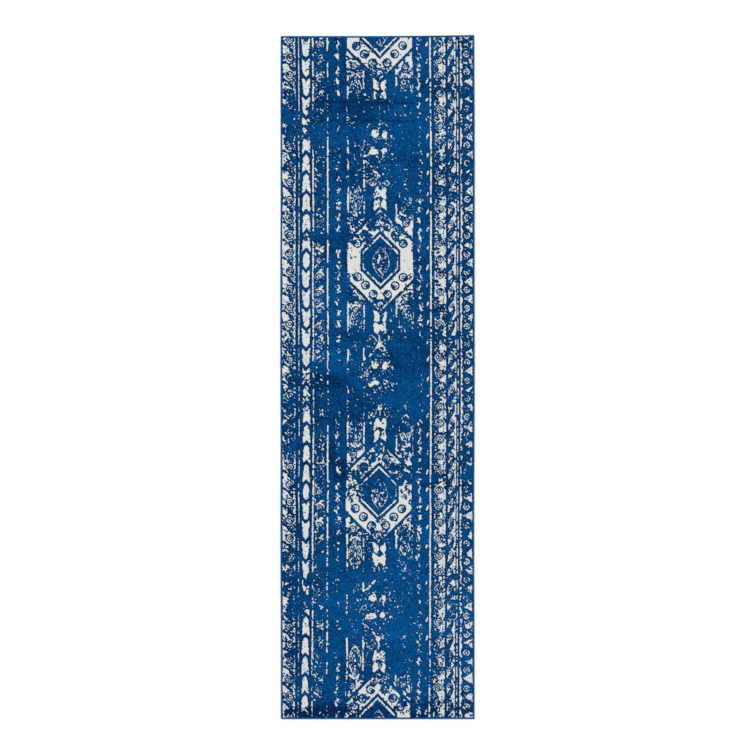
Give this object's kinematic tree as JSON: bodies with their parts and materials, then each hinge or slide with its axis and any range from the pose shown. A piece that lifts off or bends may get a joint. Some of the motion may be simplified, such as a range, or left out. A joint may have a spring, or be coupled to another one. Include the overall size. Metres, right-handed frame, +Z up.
{
  "type": "runner rug",
  "caption": "Long narrow cut-pile floor runner in blue and ivory, with a woven ground, wrapped edges and a latex-coated flat underside.",
  "frame": {"origin": "middle of the underside, on the floor", "axes": "+X across the rug, +Y along it, +Z up out of the pile"},
  "size_m": [0.605, 2.134, 0.008],
  "materials": {
    "pile_blue_yarn": "matte cut pile, heat-set yarn",
    "pile_ivory_yarn": "matte cut pile, heat-set yarn",
    "warp_yarn": "spun polycotton, undyed",
    "weft_yarn": "spun jute, undyed",
    "latex": "dull, thin, soaked into the weave",
    "edge_yarn": "wrapped polyester yarn, soft sheen",
    "edge_cord": "twisted filler cord",
    "lock_thread": "sewing thread",
    "label_tape": "woven satin tape, blank",
    "label_thread": "sewing thread"
  },
  "bodies": {
    "root": {"pile_blue": "pile_blue_yarn", "pile_ivory": "pile_ivory_yarn", "buried_pile_yarns": "pile_blue_yarn", "chain_warps": "warp_yarn", "stuffer_warps": "warp_yarn", "weft_face_shots": "weft_yarn", "weft_back_shots": "weft_yarn", "latex_back_coat": "latex", "back_label": "label_tape", "back_label_stitches": "label_thread", "right_side_serging": "edge_yarn", "right_side_cord": "edge_cord", "right_side_lock_thread": "lock_thread", "left_side_serging": "edge_yarn", "left_side_cord": "edge_cord", "left_side_lock_thread": "lock_thread", "far_end_serging": "edge_yarn", "far_end_cord": "edge_cord", "far_end_lock_thread": "lock_thread", "near_end_serging": "edge_yarn", "near_end_cord": "edge_cord", "near_end_lock_thread": "lock_thread"}
  },
  "joints": []
}
